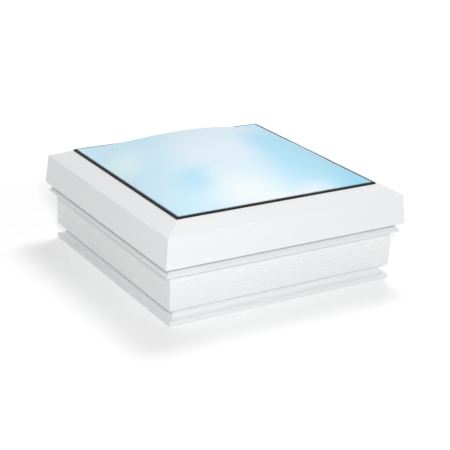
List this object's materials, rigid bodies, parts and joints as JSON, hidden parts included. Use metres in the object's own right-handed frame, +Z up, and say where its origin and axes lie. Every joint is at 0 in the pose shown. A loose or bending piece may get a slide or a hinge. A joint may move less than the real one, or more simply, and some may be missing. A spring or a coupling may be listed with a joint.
{
  "type": "roof skylight",
  "caption": "Square opening dome skylight for a flat roof: ribbed white plastic kerb, hinged sash with sloped rim, black gasket, pale blue dome over a glass unit, gas struts and turn handle.",
  "frame": {"origin": "middle of the kerb's underside, on the roof deck", "axes": "+X along the front, +Y towards the hinge side, +Z up out of the roof"},
  "size_m": [0.7498, 0.7498, 0.3597],
  "materials": {
    "white_pvc": "satin white extruded plastic",
    "black_rubber": "matt black rubber",
    "grey_foam": "grey closed-cell foam",
    "dome_acrylic": "glossy pale blue dome with soft white clouding",
    "clear_glass": "clear float glass",
    "spacer_bar": "plain aluminium bar with sealant",
    "zinc_steel": "zinc-plated steel",
    "handle_metal": "satin pale grey coating",
    "strut_paint": "black painted steel",
    "strut_chrome": "hard chrome rod"
  },
  "bodies": {
    "kerb": {"kerb_front": "white_pvc", "kerb_right": "white_pvc", "kerb_back": "white_pvc", "kerb_left": "white_pvc", "outer_seal": "black_rubber", "inner_seal": "black_rubber", "latch_keeper": "zinc_steel", "kerb_hinge_leaf_left": "zinc_steel", "hinge_pin_left": "zinc_steel", "kerb_strut_bracket_left": "zinc_steel", "kerb_hinge_leaf_right": "zinc_steel", "hinge_pin_right": "zinc_steel", "kerb_strut_bracket_right": "zinc_steel"},
    "sash": {"sash_front": "white_pvc", "sash_right": "white_pvc", "sash_back": "white_pvc", "sash_left": "white_pvc", "bead_front": "white_pvc", "bead_right": "white_pvc", "bead_back": "white_pvc", "bead_left": "white_pvc", "outer_dome": "dome_acrylic", "dome_spacer": "grey_foam", "dome_gasket": "black_rubber", "upper_pane": "clear_glass", "pane_spacer": "spacer_bar", "lower_pane": "clear_glass", "latch_plate": "zinc_steel", "sash_hinge_leaf_left": "zinc_steel", "sash_strut_bracket_left": "zinc_steel", "sash_hinge_leaf_right": "zinc_steel", "sash_strut_bracket_right": "zinc_steel"},
    "handle": {"latch_handle": "handle_metal"},
    "strut_tube_left": {"strut_tube_left": "strut_paint"},
    "strut_rod_left": {"strut_rod_left": "strut_chrome"},
    "strut_tube_right": {"strut_tube_right": "strut_paint"},
    "strut_rod_right": {"strut_rod_right": "strut_chrome"}
  },
  "joints": [
    {"name": "sash_hinge", "type": "hinge", "parent": "kerb", "child": "sash", "pos_m": [0, 0.362, 0.1815], "axis": [-1, 0, 0], "range_deg": [0, 30]},
    {"name": "handle_turn", "type": "hinge", "parent": "sash", "child": "handle", "pos_m": [0, -0.298, 0.172], "axis": [0, -1, 0], "range_deg": [0, 90]},
    {"name": "strut_swing_left", "type": "hinge", "parent": "kerb", "child": "strut_tube_left", "pos_m": [-0.286, 0.1559, 0.04], "axis": [-1, 0, 0], "range_deg": [0, 15.1]},
    {"name": "strut_slide_left", "type": "slide", "parent": "strut_tube_left", "child": "strut_rod_left", "axis": [0, -0.2364, 0.9717], "range_m": [0, 0.1154]},
    {"name": "strut_swing_right", "type": "hinge", "parent": "kerb", "child": "strut_tube_right", "pos_m": [0.286, 0.1559, 0.04], "axis": [-1, 0, 0], "range_deg": [0, 15.1]},
    {"name": "strut_slide_right", "type": "slide", "parent": "strut_tube_right", "child": "strut_rod_right", "axis": [0, -0.2364, 0.9717], "range_m": [0, 0.1154]}
  ],
  "couplings": [
    {"joint": "strut_swing_left", "follows": "sash_hinge", "ratio": 0.5},
    {"joint": "strut_slide_left", "follows": "sash_hinge", "m_per_rad": 0.2195},
    {"joint": "strut_swing_right", "follows": "sash_hinge", "ratio": 0.5},
    {"joint": "strut_slide_right", "follows": "sash_hinge", "m_per_rad": 0.2195}
  ]
}
